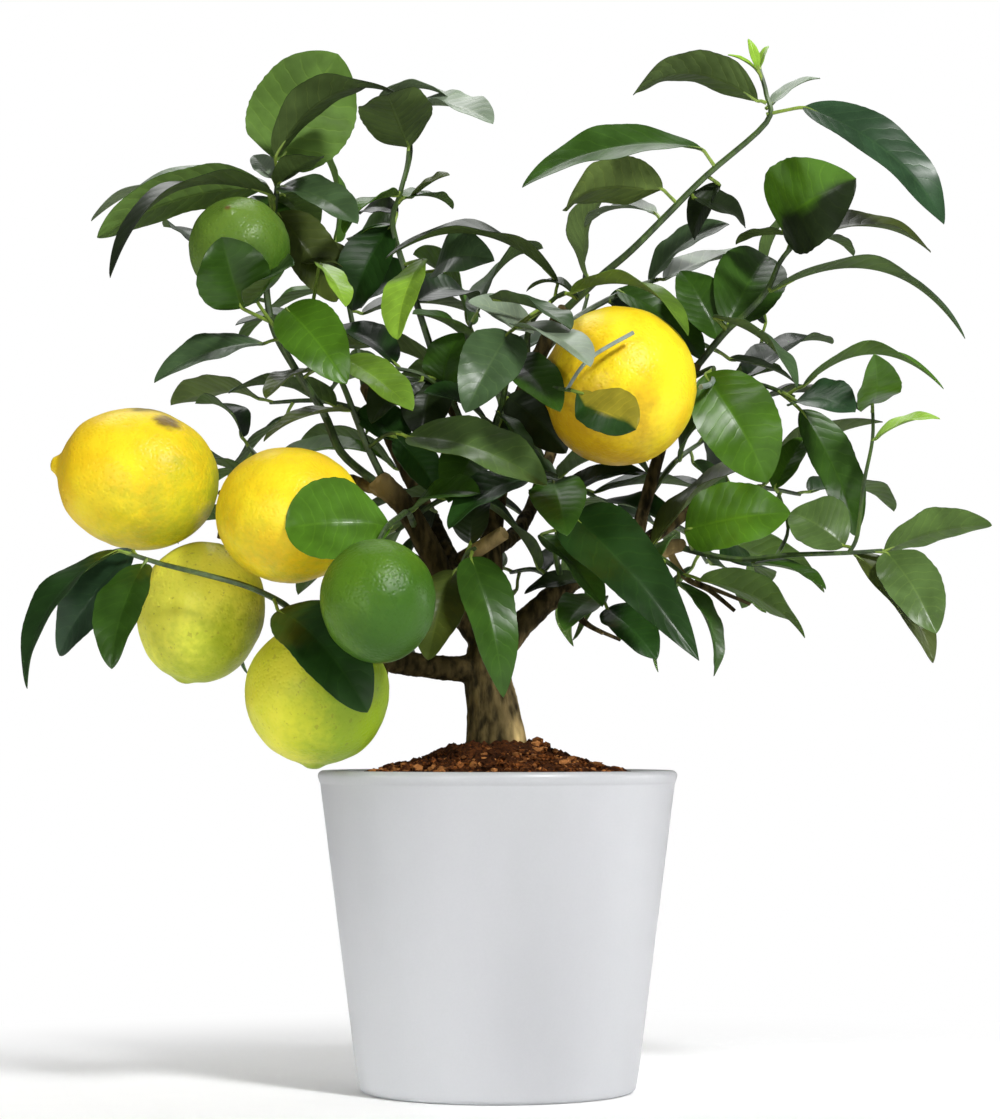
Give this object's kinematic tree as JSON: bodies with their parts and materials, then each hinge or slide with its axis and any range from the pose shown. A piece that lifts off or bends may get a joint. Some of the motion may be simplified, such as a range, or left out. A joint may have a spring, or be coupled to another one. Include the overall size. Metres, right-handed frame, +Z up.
{
  "type": "potted lemon tree",
  "caption": "Small lemon tree with a branching trunk, leafy shoots and ripe and unripe lemons, growing in soil in a round white tapered pot.",
  "frame": {"origin": "middle of the pot's flat foot, on the surface it stands on", "axes": "+Z up the trunk, +X to the right as seen from the front, and the front of the tree faces -Y"},
  "size_m": [0.427, 0.3257, 0.4699],
  "materials": {
    "pot_glaze": "white satin glaze",
    "soil_mix": "loose reddish-brown bark and coir potting mix",
    "bark": "grey-brown finely furrowed bark",
    "leaf": "leathery green leaf, glossy above and dull below",
    "peel_yellow": "dimpled yellow lemon peel, waxy",
    "peel_turning": "dimpled yellow-green lemon peel, waxy",
    "peel_green": "dimpled green unripe lemon peel, waxy"
  },
  "bodies": {
    "root": {"pot": "pot_glaze", "soil": "soil_mix", "wood": "bark", "lemon_far_left": "peel_yellow", "lemon_left": "peel_yellow", "lemon_right": "peel_yellow", "lemon_lower_left": "peel_turning", "lemon_lowest": "peel_turning", "lemon_unripe_centre": "peel_green", "lemon_unripe_upper": "peel_green", "shoot_back_centre_low": "leaf", "shoot_back_crown": "leaf", "shoot_back_left": "leaf", "shoot_back_left_crown": "leaf", "shoot_back_right": "leaf", "shoot_back_right_low": "leaf", "shoot_beside_fruit": "leaf", "shoot_centre": "leaf", "shoot_centre_dark": "leaf", "shoot_crown": "leaf", "shoot_inner_far_right": "leaf", "shoot_inner_left": "leaf", "shoot_inner_low": "leaf", "shoot_inner_low_right": "leaf", "shoot_inner_right": "leaf", "shoot_inner_top": "leaf", "shoot_left_front": "leaf", "shoot_left_inner": "leaf", "shoot_left_tall": "leaf", "shoot_low_centre": "leaf", "shoot_low_inner": "leaf", "shoot_low_left": "leaf", "shoot_low_right": "leaf", "shoot_over_fruit": "leaf", "shoot_right_inner": "leaf", "shoot_right_leader": "leaf", "shoot_right_middle": "leaf", "shoot_right_second": "leaf", "shoot_side_left": "leaf", "shoot_side_left_low": "leaf", "shoot_side_right": "leaf", "shoot_side_right_high": "leaf", "shoot_trunk_front": "leaf", "shoot_upper_centre": "leaf"}
  },
  "joints": []
}
